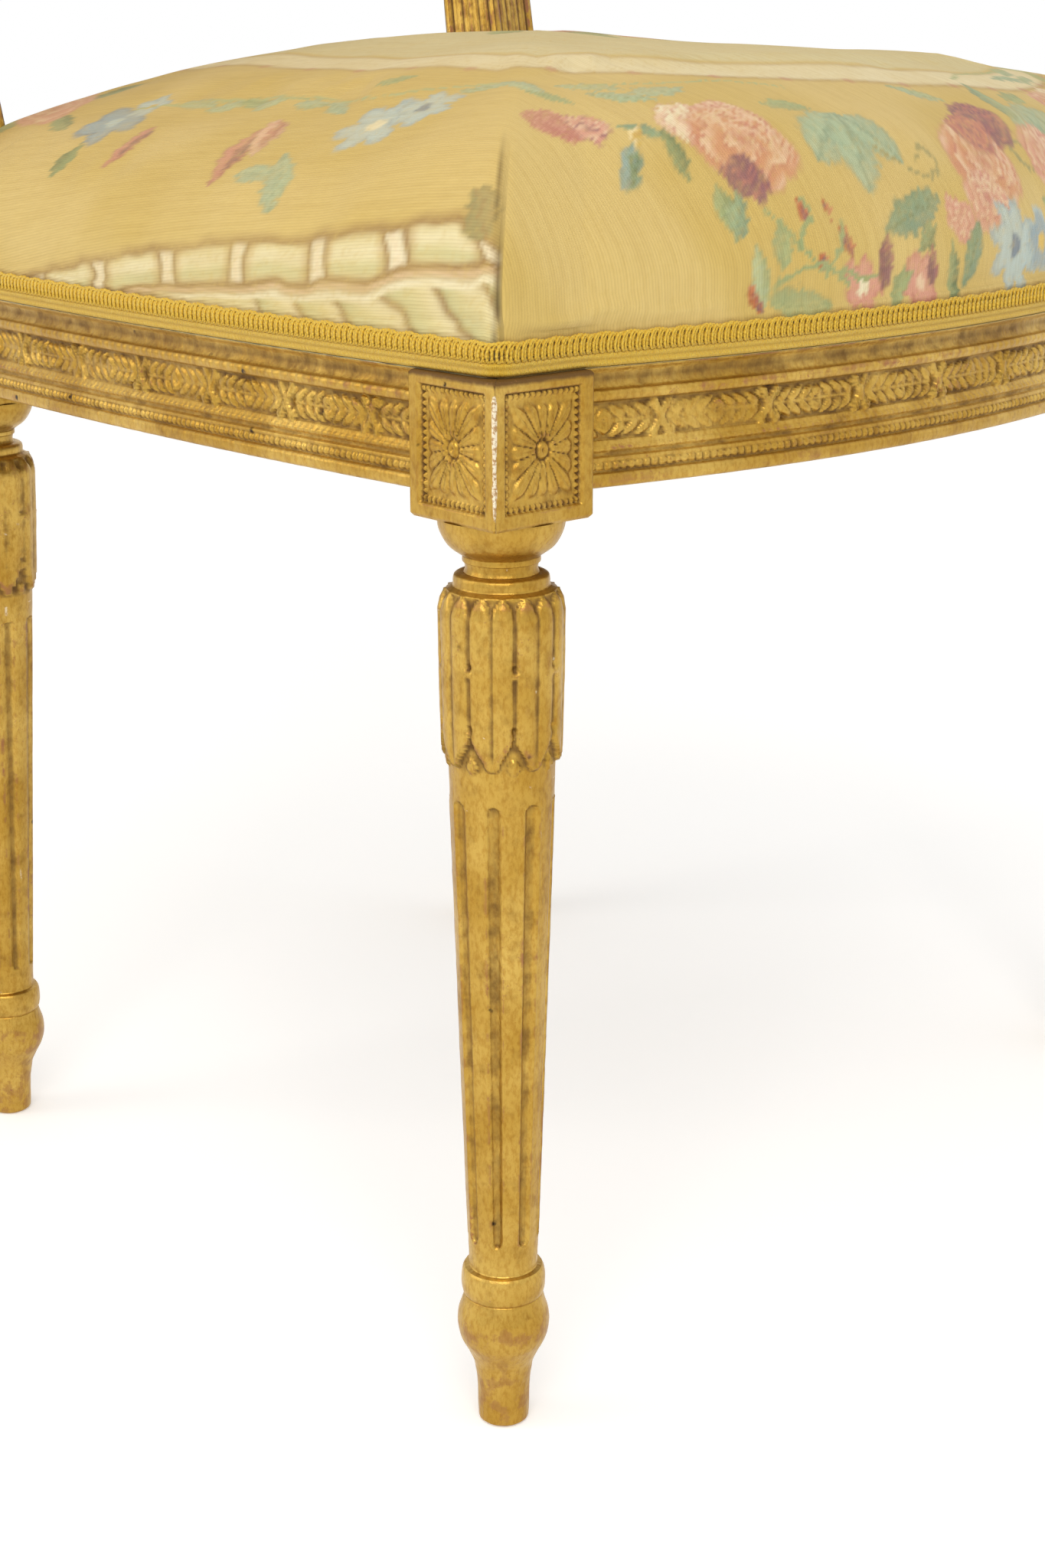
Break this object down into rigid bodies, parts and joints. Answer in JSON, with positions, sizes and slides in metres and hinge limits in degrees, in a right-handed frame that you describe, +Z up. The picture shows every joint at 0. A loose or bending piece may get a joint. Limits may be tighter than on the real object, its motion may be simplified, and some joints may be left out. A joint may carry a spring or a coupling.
{
  "type": "fauteuil",
  "caption": "Open armchair with a carved giltwood frame on turned fluted legs, a sprung tapestry seat with braid trim, and a padded oval back.",
  "frame": {"origin": "centre of the chair's footprint box on the floor", "axes": "+Z up, front of the seat towards -Y, the sitter's left towards +X"},
  "size_m": [0.5208, 0.5051, 0.9599],
  "materials": {
    "giltwood": "water-gilt beech, burnished and rubbed",
    "beech": "bare",
    "webbing": "jute webbing",
    "canvas": "hessian",
    "spring_wire": "bright wire",
    "horsehair": "stitched stuffing",
    "tapestry": "woven tapestry",
    "gimp_braid": "silk scroll gimp"
  },
  "bodies": {
    "root": {"front_leg_right": "giltwood", "front_leg_left": "giltwood", "back_post_right": "giltwood", "back_post_left": "giltwood", "front_rail": "giltwood", "side_rail_right": "giltwood", "side_rail_left": "giltwood", "medallion_crest": "giltwood", "medallion_side_left": "giltwood", "medallion_base": "giltwood", "medallion_side_right": "giltwood", "arm_right": "giltwood", "arm_left": "giltwood", "arm_console_right": "giltwood", "arm_console_left": "giltwood", "back_rail": "beech", "front_corner_block_right": "beech", "front_corner_block_left": "beech", "back_corner_block_right": "beech", "back_corner_block_left": "beech", "front_rail_peg_right": "beech", "front_rail_peg_left": "beech", "back_rail_peg_right": "beech", "back_rail_peg_left": "beech", "side_rail_front_peg_right": "beech", "side_rail_front_peg_left": "beech", "side_rail_back_peg_right": "beech", "side_rail_back_peg_left": "beech", "seat_web_lengthwise_1": "webbing", "seat_web_lengthwise_2": "webbing", "seat_web_lengthwise_3": "webbing", "seat_web_lengthwise_4": "webbing", "seat_web_crosswise_1": "webbing", "seat_web_crosswise_2": "webbing", "seat_web_crosswise_3": "webbing", "seat_web_crosswise_4": "webbing", "back_web_1": "webbing", "back_web_2": "webbing", "back_web_3": "webbing", "spring_canvas": "canvas", "seat_spring_1": "spring_wire", "seat_spring_2": "spring_wire", "seat_spring_3": "spring_wire", "seat_spring_4": "spring_wire", "seat_spring_5": "spring_wire", "seat_stuffing": "horsehair", "back_stuffing": "horsehair", "seat_cover": "tapestry", "back_cover": "tapestry", "outer_back_cover": "tapestry", "arm_pad_right": "tapestry", "arm_pad_left": "tapestry", "seat_gimp": "gimp_braid", "seat_gimp_back": "gimp_braid", "arm_gimp_right": "gimp_braid", "arm_gimp_left": "gimp_braid"}
  },
  "joints": []
}
